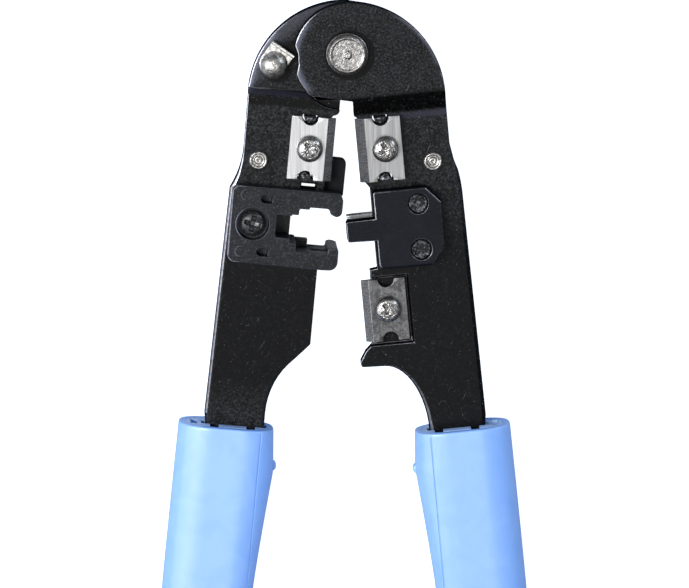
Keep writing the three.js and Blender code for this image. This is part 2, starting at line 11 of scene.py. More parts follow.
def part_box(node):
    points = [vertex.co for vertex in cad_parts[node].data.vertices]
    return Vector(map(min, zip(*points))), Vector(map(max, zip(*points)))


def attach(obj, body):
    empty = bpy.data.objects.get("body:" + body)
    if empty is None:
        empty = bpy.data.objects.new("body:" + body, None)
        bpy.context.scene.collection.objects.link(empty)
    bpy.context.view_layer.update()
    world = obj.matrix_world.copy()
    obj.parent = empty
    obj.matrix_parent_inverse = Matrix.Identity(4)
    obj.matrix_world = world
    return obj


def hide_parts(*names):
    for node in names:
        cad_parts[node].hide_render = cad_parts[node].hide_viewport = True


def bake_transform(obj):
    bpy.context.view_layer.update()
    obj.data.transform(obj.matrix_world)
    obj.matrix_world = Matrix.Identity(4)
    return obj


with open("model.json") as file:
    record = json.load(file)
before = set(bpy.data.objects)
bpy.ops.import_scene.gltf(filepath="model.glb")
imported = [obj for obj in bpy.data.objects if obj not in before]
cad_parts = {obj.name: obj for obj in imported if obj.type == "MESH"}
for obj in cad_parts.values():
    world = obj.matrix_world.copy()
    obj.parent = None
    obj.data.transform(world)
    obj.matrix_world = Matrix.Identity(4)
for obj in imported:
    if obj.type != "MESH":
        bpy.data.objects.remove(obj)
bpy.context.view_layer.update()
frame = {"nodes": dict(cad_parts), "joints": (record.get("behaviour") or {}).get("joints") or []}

MM = 0.001
HOLE_RIM = 2.3  # no screw, rivet or pin hole is wider than this radius, in millimetres
FLAT_AREA = 2e-6  # a face above this many square metres is a broad one
IN_PLANE = 4e-6  # how far in metres a corner may stand off a plane and still belong to it
WELD = 2e-6  # corners of the CAD closer than this many metres are one
FINE_WELD = 5e-7  # the same for corners of a finished piece
LEVEL = 0.999  # the Z of a normal that counts as straight up or down
STEEP = 0.6  # a normal with less Z than this belongs to a wall, not to a face or its rounded edge
SAME_PLANE = math.radians(0.6)  # CAD faces that differ by less than this are merged
FOLD_ANGLE = math.radians(12)  # the least bend between two broad faces that gets rounded
CORNER_ANGLE = math.radians(38)  # the least corner at an edge that gets rounded
# How much of an edge's length, and of the room across a face, a rounding may take
EDGE_SHARE = 0.85
FACE_SHARE = 0.42
OPEN_ANGLE = math.radians(5.25)  # each half is turned this far from the shut position
JAW = next(j for j in frame["joints"] if j["name"] == "jaw_close")
PIVOT = Vector((JAW["pos_m"][0], JAW["pos_m"][1], 0))
SCENE = bpy.context.scene


# ---- Where things are ----
# Each half is described with the jaws shut and the pivot at the origin, as the steel is stamped.
def half_matrix(angle):
    return Matrix.Translation(PIVOT) @ Matrix.Rotation(angle, 4, "Z")


HALF = {"left": half_matrix(-OPEN_ANGLE), "right": half_matrix(OPEN_ANGLE)}
BODY = {"left": "left_half", "right": "right_half"}


def local_points(node, half):
    inverse = HALF[half].inverted()
    return [inverse @ v.co for v in frame["nodes"][node].data.vertices]


def local_box(node, half):
    """Lowest and highest corner of a CAD node in the half's own frame, in millimetres."""
    points = local_points(node, half)
    low = Vector([min(p[i] for p in points) for i in range(3)]) / MM
    high = Vector([max(p[i] for p in points) for i in range(3)]) / MM
    return low, high


def axis_of(node, half):
    low, high = local_box(node, half)
    return (low.x + high.x) / 2, (low.y + high.y) / 2


# ---- Making pieces ----
def applied(obj):
    """The object's mesh with its modifiers made real."""
    graph = bpy.context.evaluated_depsgraph_get()
    return bpy.data.meshes.new_from_object(obj.evaluated_get(graph))


def baked(bm, name):
    mesh = bpy.data.meshes.new(name)
    bm.to_mesh(mesh)
    bm.free()
    return mesh


def linked(name, data):
    obj = bpy.data.objects.new(name, data)
    SCENE.collection.objects.link(obj)
    return obj


def smooth_by_angle(mesh, degrees):
    mesh.shade_smooth()
    mesh.set_sharp_from_angle(angle=math.radians(degrees))


def piece(name, mesh, half, materials, node, body=None):
    """One visible piece from a mesh in a half's own frame. It rides on that half if no body is named."""
    mesh.transform(HALF[half])
    obj = linked(name, mesh)
    for material in materials:
        mesh.materials.append(material)
    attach(obj, body or BODY[half])
    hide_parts(node)
    return obj


def mesh_from(bm, name, degrees=35):
    bmesh.ops.recalc_face_normals(bm, faces=bm.faces)
    mesh = baked(bm, name)
    smooth_by_angle(mesh, degrees)
    return mesh


def turns_by(edge, angle):
    return len(edge.link_faces) == 2 and edge.calc_face_angle(0) > angle


def folded(edge):
    """True for a line where the piece bends between two broad faces."""
    return turns_by(edge, FOLD_ANGLE) and min(abs(f.normal.z) for f in edge.link_faces) >= STEEP


def turn_at(edge_a, edge_b, vertex, face):
    """The tangent of half the turn inwards at a face's corner, 0 where its outline turns outwards."""
    before = (vertex.co - edge_a.other_vert(vertex).co).normalized()
    after = (edge_b.other_vert(vertex).co - vertex.co).normalized()
    if before.cross(after).dot(face.normal) <= 0:
        return 0.0
    return math.tan(min(before.angle(after), 2.8) / 2)


def room_across(loop, face):
    """Distance from the middle of a face's edge, straight into the face, to the far side."""
    a, b = loop.vert.co, loop.link_loop_next.vert.co
    middle, inward = (a + b) / 2, face.normal.cross(b - a).normalized()
    nearest = math.inf
    for other in face.loops:
        c, d = other.vert.co - middle, other.link_loop_next.vert.co - middle
        along = (b - a).normalized()
        c_side, d_side = c.dot(along), d.dot(along)
        if other is loop or c_side * d_side > 0 or abs(c_side - d_side) < 1e-9:
            continue
        reach = c.lerp(d, c_side / (c_side - d_side)).dot(inward)
        if reach > 1e-6:
            nearest = min(nearest, reach)
    return nearest


def rounding_room(edge):
    """The widest rounding that fits on an edge without folding either of its faces over."""
    room = math.inf
    for loop in edge.link_loops:
        face, before, after = loop.face, loop.link_loop_prev, loop.link_loop_next
        turns = turn_at(before.edge, edge, loop.vert, face) + turn_at(edge, after.edge, after.vert, face)
        if turns > 1e-4:
            room = min(room, EDGE_SHARE * edge.calc_length() / turns)
        room = min(room, FACE_SHARE * room_across(loop, face))
    return room


def faces_in(bm, normal, centre):
    return {f for f in bm.faces if all(abs((v.co - centre).dot(normal)) < IN_PLANE for v in f.verts)}


def flats_of(bm):
    """The planes that hold a broad face of the front or back, each as its outward normal and a point."""
    flats, seen = [], set()
    for face in sorted(bm.faces, key=lambda f: -f.calc_area()):
        if face.calc_area() < FLAT_AREA or face in seen or abs(face.normal.z) < STEEP:
            continue
        normal, centre = face.normal.copy(), face.calc_center_median()
        if abs(normal.z) > LEVEL:
            normal = Vector((0, 0, math.copysign(1, normal.z)))
        seen |= faces_in(bm, normal, centre)
        flats.append((normal, centre))
    return flats


def islands(faces):
    """The groups of faces that are joined edge to edge."""
    left, groups = set(faces), []
    while left:
        group, front = set(), [left.pop()]
        while front:
            face = front.pop()
            group.add(face)
            near = {g for e in face.edges for g in e.link_faces} & left
            left -= near
            front += near
        groups.append(group)
    return groups


def inside(point, sides):
    """True where a flat point lies within an outline that may have holes."""
    odd = False
    for a, b in sides:
        if (a.y > point.y) != (b.y > point.y):
            odd ^= point.x < a.x + (point.y - a.y) * (b.x - a.x) / (b.y - a.y)
    return odd


def face_out(face, normal):
    face.normal_update()
    if face.normal.dot(normal) < 0:
        face.normal_flip()


def simple_fill(bm, outline, normal):
    """Fills an outline with triangles; False, with nothing left behind, where that leaves a gap."""
    made = bmesh.ops.triangle_fill(bm, edges=outline, use_beauty=True, normal=normal)["geom"]
    faces = [g for g in made if isinstance(g, bmesh.types.BMFace)]
    if all(len(e.link_faces) == 2 for e in outline):
        for face in faces:
            face_out(face, normal)
        return True
    edges = [g for g in made if isinstance(g, bmesh.types.BMEdge)]
    bmesh.ops.delete(bm, geom=faces, context="FACES_ONLY")
    bmesh.ops.delete(bm, geom=edges, context="EDGES")
    return False


def refill(bm, faces, normal):
    """Lays one island of faces again inside its outline, which may cross itself."""
    edges = {e for f in faces for e in f.edges}
    outline = [e for e in edges if sum(g in faces for g in e.link_faces) == 1]
    bmesh.ops.delete(bm, geom=list(faces), context="FACES_ONLY")
    bmesh.ops.delete(bm, geom=list(edges - set(outline)), context="EDGES")
    if simple_fill(bm, outline, normal):
        return
    corners = list({v for e in outline for v in e.verts})
    number = {v: i for i, v in enumerate(corners)}
    lay_flat = normal.rotation_difference(Vector((0, 0, 1)))
    flat = [(lay_flat @ v.co).to_2d() / MM for v in corners]
    height = (lay_flat @ corners[0].co).z
    ends = [(number[e.verts[0]], number[e.verts[1]]) for e in outline]
    points, _, triangles, origins, _, _ = delaunay_2d_cdt(flat, ends, [], 0, 1e-6)
    places = [corners[o[0]] if o else None for o in origins]
    sides = [(flat[a], flat[b]) for a, b in ends]
    for triangle in triangles:
        if not inside(sum((points[i] for i in triangle), Vector((0, 0))) / 3, sides):
            continue
        for i in triangle:
            if places[i] is None:
                at = Vector((points[i].x * MM, points[i].y * MM, height))
                places[i] = bm.verts.new(lay_flat.inverted() @ at)
        face_out(bm.faces.new([places[i] for i in triangle]), normal)


def refill_flats(mesh):
    """Lays every flat of a plate again inside its own outline, so that none of its faces overlap."""
    bm = bmesh.new()
    bm.from_mesh(mesh)
    for normal, centre in flats_of(bm):
        for group in islands(faces_in(bm, normal, centre)):
            refill(bm, group, normal)
    bmesh.ops.remove_doubles(bm, verts=bm.verts, dist=FINE_WELD)
    bmesh.ops.dissolve_degenerate(bm, dist=FINE_WELD, edges=bm.edges)
    loose = [v for v in bm.verts if not v.link_faces]
    bmesh.ops.delete(bm, geom=loose, context="VERTS")
    bm.to_mesh(mesh)
    bm.free()


def near_hole(edge, holes):
    """True for the rim of a hole about one of the (x, y) axes, which stays crisp."""
    for x, y in holes:
        if all(math.hypot(v.co.x / MM - x, v.co.y / MM - y) < HOLE_RIM for v in edge.verts):
            return True
    return False


def fine_copy(name, node, half, materials, width, segments=3, bend=1.0, holes=(), wall=0,
              fold_material=1, body=None):
    """The CAD node's own shape with rounded edges, width millimetres wide where there is room.

    The second material, if any, goes on the rounding; wall and fold_material are the numbers of those
    for steep walls and for folds. Folds between broad faces are rounded first, by the bend's share of
    the width. Edges round the holes stay crisp.
    """
    bm = bmesh.new()
    bm.from_mesh(frame["nodes"][node].data)
    bm.transform(HALF[half].inverted())
    bmesh.ops.remove_doubles(bm, verts=bm.verts, dist=WELD)
    bmesh.ops.dissolve_limit(bm, angle_limit=SAME_PLANE, verts=bm.verts, edges=bm.edges)
    bmesh.ops.recalc_face_normals(bm, faces=bm.faces)
    folds = [e for e in bm.edges if folded(e)]
    rounding = min(1, len(materials) - 1)
    if folds:
        bmesh.ops.bevel(
            bm, geom=folds, offset=width * bend * MM, offset_type="OFFSET", segments=2, profile=0.5,
            affect="EDGES", clamp_overlap=False, loop_slide=False, material=min(fold_material, rounding))
        bmesh.ops.recalc_face_normals(bm, faces=bm.faces)
    weights = bm.edges.layers.float.new("bevel_weight_edge")
    corners = [e for e in bm.edges if turns_by(e, CORNER_ANGLE)]
    sharp = [e for e in corners if not folded(e) and not near_hole(e, holes)]
    room = {edge: min(width * MM, rounding_room(edge)) for edge in sharp}
    for _ in range(3):
        for edge in sharp:
            near = [room[e] for v in edge.verts for e in v.link_edges if e in room]
            room[edge] = min(room[edge], 1.5 * min(near))
    for edge in sharp:
        edge[weights] = room[edge] / (width * MM)
    mesh = baked(bm, name)
    mesh.shade_smooth()
    obj = piece(name, mesh, half, materials, node, body)
    bevel = obj.modifiers.new("edges", "BEVEL")
    bevel.limit_method = "WEIGHT"
    bevel.width = width * MM
    bevel.segments = segments
    bevel.use_clamp_overlap = False
    bevel.loop_slide = False
    bevel.material = rounding
    obj.data = applied(obj)
    obj.modifiers.clear()
    refill_flats(obj.data)
    smooth_by_angle(obj.data, 50)
    for polygon in obj.data.polygons:
        polygon.use_smooth = polygon.area < FLAT_AREA or abs(polygon.normal.z) < LEVEL
        if rounding and abs(polygon.normal.z) < STEEP:
            polygon.material_index = wall
    normals = obj.modifiers.new("normals", "WEIGHTED_NORMAL")
    normals.weight = 80
    normals.keep_sharp = True
    return obj


def filleted(points, radius, steps=3):
    """A profile with its inner corners rounded."""
    out = [Vector(points[0])]
    for before, at, after in zip(points, points[1:], points[2:]):
        before, at, after = Vector(before), Vector(at), Vector(after)
        reach = min(radius, 0.45 * (at - before).length, 0.45 * (after - at).length)
        start = at + (before - at).normalized() * reach
        end = at + (after - at).normalized() * reach
        for i in range(steps + 1):
            t = i / steps
            out.append((1 - t) ** 2 * start + 2 * t * (1 - t) * at + t * t * end)
    out.append(Vector(points[-1]))
    return out


def densified(points, step):
    """The same profile with no gap between its points longer than a step."""
    out = [points[0]]
    for a, b in zip(points, points[1:]):
        count = max(1, math.ceil((b - a).length / step))
        out += [a.lerp(b, (i + 1) / count) for i in range(count)]
    return out


def close_rings(bm, rings, segments):
    """Faces between neighbouring rings of vertices, where a ring may be a single point on the axis."""
    for a, b in zip(rings, rings[1:]):
        for i in range(segments):
            j = (i + 1) % segments
            corners = [a[i % len(a)], a[j % len(a)], b[j % len(b)], b[i % len(b)]]
            unique = list(dict.fromkeys(corners))
            if len(unique) > 2:
                bm.faces.new(unique)


def spin(bm, centre, profile, segments, relief=None):
    """Adds a skin of (radius, height) points turned about an upright axis.

    relief(x, y, r, z) gives a change of height for each point.
    """
    rings = []
    for r, z in profile:
        ring = []
        count = 1 if r < 1e-6 else segments
        for i in range(count):
            a = 2 * math.pi * i / segments
            x, y = r * math.cos(a), r * math.sin(a)
            height = z + (relief(x, y, r, z) if relief else 0)
            ring.append(bm.verts.new(Vector((centre[0] + x, centre[1] + y, height)) * MM))
        rings.append(ring)
    close_rings(bm, rings, segments)


def turned(name, node, half, material, profile, segments, relief=None):
    """A turned piece from (radius, height) points, from axis to axis, about the CAD node's own axis."""
    bm = bmesh.new()
    spin(bm, axis_of(node, half), profile, segments, relief)
    piece(name, mesh_from(bm, name), half, [material], node)


def lumps(x, y, scale, seed):
    return noise.noise(Vector((x * scale, y * scale, seed)))


# ---- Materials ----
def set_inputs(node, values):
    for name, value in dict(values).items():
        node.inputs[name].default_value = value
    return node


class Finish:
    """Builds one procedural material. Its coordinates are the piece's own, in millimetres."""

    def __init__(self, name, base, roughness, metallic=0.0, specular=0.5, half=None):
        self.material = bpy.data.materials.new(name)
        self.material.use_nodes = True
        self.tree = self.material.node_tree
        self.shader = set_inputs(self.tree.nodes["Principled BSDF"], {
            "Base Color": (*base, 1), "Roughness": roughness, "Metallic": metallic,
            "Specular IOR Level": specular})
        self.point = self.new("TexCoord").outputs["Object"]
        if half:
            self.point = self.in_half(half)
        self.mm = self.mapped((1000, 1000, 1000))

    def new(self, kind, values=()):
        """A shader node with the values of some of its inputs."""
        return set_inputs(self.tree.nodes.new("ShaderNode" + kind), values)

    def link(self, source, target):
        self.tree.links.new(source, target)

    def rotated(self, vector, angle, centre=(0, 0, 0)):
        node = self.new("VectorRotate", {"Center": centre, "Angle": angle})
        node.rotation_type = "Z_AXIS"
        self.link(vector, node.inputs["Vector"])
        return node.outputs["Vector"]

    def vector_math(self, operation, vector, operand=(0, 0, 0)):
        node = self.new("VectorMath", {1: operand})
        node.operation = operation
        self.link(vector, node.inputs[0])
        return node.outputs

    def in_half(self, half):
        """The point in the half's own frame."""
        shut = self.rotated(self.point, OPEN_ANGLE if half == "left" else -OPEN_ANGLE, PIVOT)
        return self.vector_math("SUBTRACT", shut, PIVOT)["Vector"]

    def mapped(self, scale, turn=0.0):
        """Coordinates scaled, after a turn about the piece's Z in degrees."""
        vector = self.rotated(self.point, math.radians(turn)) if turn else self.point
        mapping = self.new("Mapping", {"Scale": scale})
        self.link(vector, mapping.inputs["Vector"])
        return mapping.outputs["Vector"]

    def noise(self, scale, detail=4, vector=None, distortion=0.0):
        node = self.new("TexNoise", {"Scale": scale, "Detail": detail, "Distortion": distortion})
        self.link(vector or self.mm, node.inputs["Vector"])
        return node.outputs["Fac"]

    def lines(self, across, along, turn=0.0, detail=3):
        """Noise drawn out into fine lines along Y, turned by some degrees; sizes are per millimetre."""
        stretched = self.mapped((1000 * across, 1000 * along, 1000 * along), turn)
        return self.noise(1.0, detail, stretched)

    def span(self, value, low, high, to_low=0.0, to_high=1.0):
        node = self.new("MapRange", {
            "From Min": low, "From Max": high, "To Min": to_low, "To Max": to_high})
        node.interpolation_type = "SMOOTHSTEP"
        self.link(value, node.inputs["Value"])
        return node.outputs["Result"]

    def math(self, operation, a, b):
        node = self.new("Math")
        node.operation = operation
        for socket, value in zip(node.inputs, (a, b)):
            if isinstance(value, (int, float)):
                socket.default_value = value
            else:
                self.link(value, socket)
        return node.outputs["Value"]

    def times(self, a, b):
        return self.math("MULTIPLY", a, b)

    def axis(self, name):
        node = self.new("SeparateXYZ")
        self.link(self.mm, node.inputs["Vector"])
        return node.outputs[name]

    def distance(self, x, y):
        """Distance in millimetres from an upright line through (x, y)."""
        offset = self.vector_math("SUBTRACT", self.mm, (x, y, 0))["Vector"]
        flat = self.vector_math("MULTIPLY", offset, (1, 1, 0))["Vector"]
        return self.vector_math("LENGTH", flat)["Value"]

    def window(self, axis, low, high, soft):
        """1 where the coordinate lies between two values, fading out over a soft margin."""
        value = self.axis(axis)
        rise = self.span(value, low - soft, low + soft)
        fall = self.span(value, high - soft, high + soft, 1.0, 0.0)
        return self.times(rise, fall)

    def tint(self, factor, a, b):
        node = self.new("Mix")
        node.data_type = "RGBA"
        self.link(factor, node.inputs["Factor"])
        for socket, value in ((node.inputs[6], a), (node.inputs[7], b)):
            if isinstance(value, tuple):
                socket.default_value = (*value, 1)
            else:
                self.link(value, socket)
        return node.outputs[2]

    def color(self, value):
        self.link(value, self.shader.inputs["Base Color"])

    def rough(self, value):
        self.link(value, self.shader.inputs["Roughness"])

    def metal(self, value):
        self.link(value, self.shader.inputs["Metallic"])

    def bump(self, height, strength, depth):
        """Small relief of a depth in millimetres."""
        node = self.new("Bump", {"Strength": strength, "Distance": depth * MM})
        self.link(height, node.inputs["Height"])
        self.link(node.outputs["Normal"], self.shader.inputs["Normal"])


# Near-black for painted shade and painted shadows
PAINTED_SHADE = (0.001, 0.001, 0.001)


def black_steel(name, wear, half=None, painted_highlights=(), bands=(), painted_shadows=(), specular=0.1):
    """Blackened sheet steel: mottled oxide, pinpricks of bare metal and hairline scratches.

    A painted highlight greys the steel inside each rim, the left (-1) or right (1) side of a circle,
    where the lamps catch the edge: (x, y, radius, reach, strength, side, y0, y1). A band (x0, x1, y0,
    y1, soft, colour) is a paler or darker strip: painted light on the slope of a bend, painted shade
    under one, or a darker stretch of arm. A painted shadow (x, y, radius) is a near-black ring of
    painted shade round a rivet.
    """
    f = Finish(name, (0.014, 0.014, 0.016), 0.3, 0.0, specular, half)
    mottle = f.span(f.noise(0.45, 6), 0.35, 0.7)
    grain = f.span(f.noise(2.2, 6), 0.40, 0.72)
    oxide_and_painted_light = f.tint(mottle, (0.002, 0.002, 0.002), (0.010, 0.010, 0.010))
    oxide_and_painted_light = f.tint(grain, oxide_and_painted_light, (0.036, 0.036, 0.037))
    # Paler or darker strips: painted light and painted shade at the bends, and darker stretches of arm
    for x0, x1, y0, y1, soft, colour in bands:
        inside = f.times(f.window("X", x0, x1, 0.5), f.window("Y", y0, y1, soft))
        cloud = f.span(f.noise(1.5, 5), 0.2, 0.6, 0.6, 1.0)
        oxide_and_painted_light = f.tint(f.times(inside, cloud), oxide_and_painted_light, colour)
    # Painted shadows: near-black where shade falls round a rivet or the latch
    for x, y, radius in painted_shadows:
        inside = f.span(f.distance(x, y), radius - 0.5, radius, 0.95, 0.0)
        oxide_and_painted_light = f.tint(inside, oxide_and_painted_light, PAINTED_SHADE)
    # Painted highlights: pale grey inside the edge, on the side that the lamps catch
    for x, y, radius, reach, strength, side, y0, y1 in painted_highlights:
        near = f.span(f.distance(x, y), radius - reach, radius)
        near = f.times(near, f.span(f.distance(x, y), radius + 0.3, radius + 0.8, 1.0, 0.0))
        near = f.times(near, f.window("Y", y0, y1, 2.0))
        near = f.times(near, f.span(f.times(f.axis("X"), side), -2, 2))
        near = f.math("POWER", near, 1.6)
        patchy = f.span(f.math("ADD", f.noise(3.0, 6), f.times(near, 0.5)), 0.42, 0.85)
        rim_highlight = f.times(f.times(near, patchy), strength)
        oxide_and_painted_light = f.tint(rim_highlight, oxide_and_painted_light, (0.23, 0.23, 0.28))
    pricks = f.span(f.noise(2.6, 2), 0.71, 0.78)
    hair = f.span(f.lines(5.0, 0.22, 28), 0.70, 0.74)
    cross_hair = f.span(f.lines(6.0, 0.3, -52), 0.72, 0.75)
    marks = f.math("MAXIMUM", f.times(pricks, 0.55), f.times(hair, 0.22))
    marks = f.math("MAXIMUM", marks, f.times(cross_hair, 0.2))
    if wear:
        rub = f.span(f.noise(1.6, 6, distortion=0.4), 0.47, 0.62)
        marks = f.math("MAXIMUM", marks, f.times(rub, wear))
    f.color(f.tint(marks, oxide_and_painted_light, (0.42, 0.42, 0.45)))
    f.metal(f.times(marks, 0.9))
    f.rough(f.span(f.noise(1.2, 5), 0.3, 0.7, 0.27, 0.40))
    f.bump(f.math("ADD", f.noise(3.5, 5), f.times(f.noise(0.3, 2), 2.0)), 0.35, 0.02)
    return f.material


def polished_edge(name, bare, half, stretches, metallic=1.0):
    """A rounded black edge, pale bare metal along some stretches: painted highlights where lamps catch
    it.

    Each stretch is (x0, x1, y0, y1, soft, strength) in the half's own frame.
    """
    f = Finish(name, bare, 0.3, 1.0, 0.1, half)
    worn_and_lit = 0.0
    # Painted highlights along the stretches that the lamps catch
    for x0, x1, y0, y1, soft, strength in stretches:
        inside = f.times(f.window("X", x0, x1, soft), f.window("Y", y0, y1, soft))
        worn_and_lit = f.math("MAXIMUM", worn_and_lit, f.times(inside, strength))
    cloud = f.span(f.noise(1.1, 6), 0.3, 0.6, 0.6, 1.0)
    worn_and_lit = f.times(worn_and_lit, cloud)
    f.color(f.tint(worn_and_lit, (0.010, 0.010, 0.011), bare))
    f.metal(f.span(worn_and_lit, 0.0, 0.15, 0.0, metallic))
    f.rough(f.span(f.noise(1.2, 4), 0.3, 0.7, 0.27, 0.40))
    f.bump(f.noise(2.5, 4), 0.3, 0.012)
    return f.material


def sheared_steel(name, base):
    """The blackened cut face of a plate: dull, with a torn grain."""
    f = Finish(name, base, 0.6, 0.0, 0.0)
    grain = f.span(f.noise(3.0, 5), 0.35, 0.70)
    f.color(f.tint(grain, tuple(c * 0.6 for c in base), tuple(c * 1.5 for c in base)))
    f.rough(f.span(grain, 0.0, 1.0, 0.70, 0.52))
    f.bump(grain, 0.3, 0.02)
    return f.material


def plated(name, base, roughness, lump, depth):
    """Nickel-plated steel, dulled and dented by handling."""
    f = Finish(name, base, roughness, 1.0)
    dull = tuple(c * 0.5 for c in base)
    stain = f.span(f.noise(1.1, 6, distortion=0.5), 0.42, 0.66)
    specks = f.span(f.noise(4.5, 3), 0.6, 0.7)
    f.color(f.tint(f.times(specks, 0.6), f.tint(stain, base, dull), (0.12, 0.12, 0.12)))
    f.rough(f.span(f.noise(2.2, 5), 0.3, 0.7, roughness * 0.75, roughness * 1.5))
    f.bump(f.noise(lump, 4), 0.8, depth)
    return f.material


def ground_steel(name, light, dark, roughness, across, smear=0.0):
    """Ground blade steel: lines along the blade, and a smear of grease where there is one."""
    f = Finish(name, light, roughness, 1.0)
    fine = f.lines(across, 0.1)
    broad = f.lines(across * 0.22, 0.04)
    grain = f.math("ADD", f.times(fine, 0.6), f.times(broad, 0.4))
    color = f.tint(f.span(grain, 0.36, 0.64), dark, light)
    if smear:
        film = f.span(f.noise(0.42, 3, distortion=2.2), 0.46, 0.60)
        ridge = f.span(f.noise(0.9, 2, distortion=3.0), 0.56, 0.60)
        color = f.tint(f.times(film, smear), color, tuple(c * 0.55 for c in dark))
        streak = f.times(ridge, smear * 0.7)
        color = f.tint(streak, color, tuple(min(1, c * 1.5) for c in light))
    f.color(color)
    f.rough(f.span(grain, 0.3, 0.7, roughness * 1.25, roughness * 0.85))
    f.bump(grain, 0.25, 0.02)
    return f.material


def bevel_steel(name, base):
    """The ground edge of a blade: coarser, crossways and darker than its face."""
    f = Finish(name, base, 0.5, 1.0)
    grind = f.lines(5.0, 0.5, 78)
    specks = f.noise(3.0, 5)
    dark = tuple(c * 0.45 for c in base)
    pale = tuple(min(1.0, c * 1.5) for c in base)
    f.color(f.tint(f.span(specks, 0.35, 0.7), f.tint(f.span(grind, 0.35, 0.65), dark, base), pale))
    f.bump(grind, 0.5, 0.03)
    return f.material


def moulded(name, base, pale, roughness, grain, specular=0.5, speckle=0.0):
    """Moulded plastic: fine even grain, faint flow marks, a few pale scuffs, and dust in the grain."""
    f = Finish(name, base, roughness, 0.0, specular)
    flow = f.span(f.noise(0.16, 3, distortion=0.8), 0.3, 0.7)
    fine = f.noise(grain, 4)
    color = f.tint(flow, base, pale)
    if speckle:
        dust = f.span(f.noise(2.4, 6), 0.48, 0.74)
        color = f.tint(f.times(dust, speckle), color, (0.10, 0.10, 0.11))
    scuff = f.span(f.lines(3.0, 0.35, 24), 0.70, 0.76)
    bright = tuple(min(1.0, c * 1.25 + 0.015) for c in pale)
    f.color(f.tint(f.times(scuff, 0.3), color, bright))
    f.rough(f.span(fine, 0.3, 0.7, roughness * 0.85, roughness * 1.15))
    f.bump(fine, 0.3, 0.015)
    return f.material


# Centre and radius of each half's head, and of the disc that the other half turns on
HEAD_LEFT = (0.9, -10.4, 22.0)
HEAD_RIGHT = (-0.9, -10.4, 22.0)
DISC = (0.0, -0.66, 12.0)
# Left arm: a painted lavender sheen on the head and a painted white highlight on its left edge; a
# painted shadow under the bend and painted light on its slope; painted shadows by the latch and its
# rivet
STEEL_LEFT = black_steel(
    "black_steel_left", 0.0, "left",
    painted_highlights=[(*HEAD_LEFT, 7.0, 0.20, -1, -9, 13), (*HEAD_LEFT, 2.4, 0.8, -1, -10, 3)],
    bands=[(-30, 2, -13.2, -11.2, 0.25, PAINTED_SHADE), (-30, 2, -10.9, -9.7, 0.2, (0.026, 0.024, 0.034)),
           (-30, 5, -80, -46, 6, (0.002, 0.002, 0.0025))],
    painted_shadows=[(-12.7, -1.1, 3.0), (-15.0, -4.7, 3.7)])
# Right arm: painted highlights on the disc's left edge and the head's right edge; painted shade on the
# slope of the bend and a painted highlight in the fillet below it; a painted shadow round the pivot
STEEL_RIGHT = black_steel(
    "black_steel_right", 0.0, "right",
    painted_highlights=[(*DISC, 2.8, 0.6, -1, -8, 8), (*HEAD_RIGHT, 1.3, 0.5, 1, -5, 8)],
    bands=[(-4, 30, -14.3, -9.9, 0.5, PAINTED_SHADE), (0, 30, -15.9, -14.7, 0.3, (0.030, 0.027, 0.040)),
           (-5, 30, -92, -42, 6, (0.003, 0.003, 0.0035))],
    painted_shadows=[(0.55, -0.35, 5.9)])
# The pale stretches of the edges below are painted highlights where the lamps catch the edges; the bare
# metal there also mirrors the lamps
BARE_AND_LIT = (0.33, 0.33, 0.37)
EDGE_LEFT = polished_edge("black_edge_left", BARE_AND_LIT, "left", [
    (-40, -13, -60, 8, 6, 1.0), (-40, -17, -100, -50, 8, 0.7), (-40, 10, -14, -8, 1, 0.35)])
EDGE_RIGHT = polished_edge("black_edge_right", BARE_AND_LIT, "right", [
    (-40, -5, -12, 10, 3, 0.9), (9, 30, -6, 16, 3, 0.5),
    (-10, 12, -100, -14, 2, 0.5), (-40, 30, -16, -8, 1, 0.35)])
EDGE_PRESS = polished_edge("press_edge", BARE_AND_LIT, "right", [
    (-8, 8, -60, -20, 2, 0.7), (8, 24, -60, -20, 2, 0.35)])
# The die's pale left edge is a painted highlight, with no metal to it
DIE_EDGE = polished_edge("die_edge", (0.26, 0.26, 0.30), "left", [
    (-30, -20, -60, -28, 1.5, 0.9), (-20, 10, -60, -28, 1.5, 0.15)], 0.0)
STEEL_WALL = sheared_steel("black_steel_wall", (0.006, 0.006, 0.007))
WORN_STEEL = black_steel("worn_steel", 0.30)
PLATED = plated("plated_rivet", (0.55, 0.54, 0.52), 0.34, 2.4, 0.10)
STRUCK = plated("struck_rivet", (0.40, 0.39, 0.38), 0.36, 5.0, 0.07)
SCREW = plated("plated_screw", (0.52, 0.51, 0.50), 0.30, 1.8, 0.035)
LATCH = plated("plated_latch", (0.66, 0.65, 0.62), 0.30, 1.2, 0.04)
BLACK_SCREW = black_steel("black_screw", 0.04, specular=0.6)
PIN = black_steel("worn_pin", 0.45)
# The left blade's steel is paler than the right one's to stand for the light on it: painted light
BLADE_LEFT = ground_steel("blade_bright", (0.55, 0.55, 0.55), (0.38, 0.38, 0.39), 0.36, 9.0)
BLADE_RIGHT = ground_steel("blade_grey", (0.40, 0.40, 0.40), (0.27, 0.27, 0.275), 0.42, 7.0)
CUTTER = ground_steel("cutter_steel", (0.17, 0.17, 0.172), (0.115, 0.115, 0.12), 0.48, 5.0, 0.75)
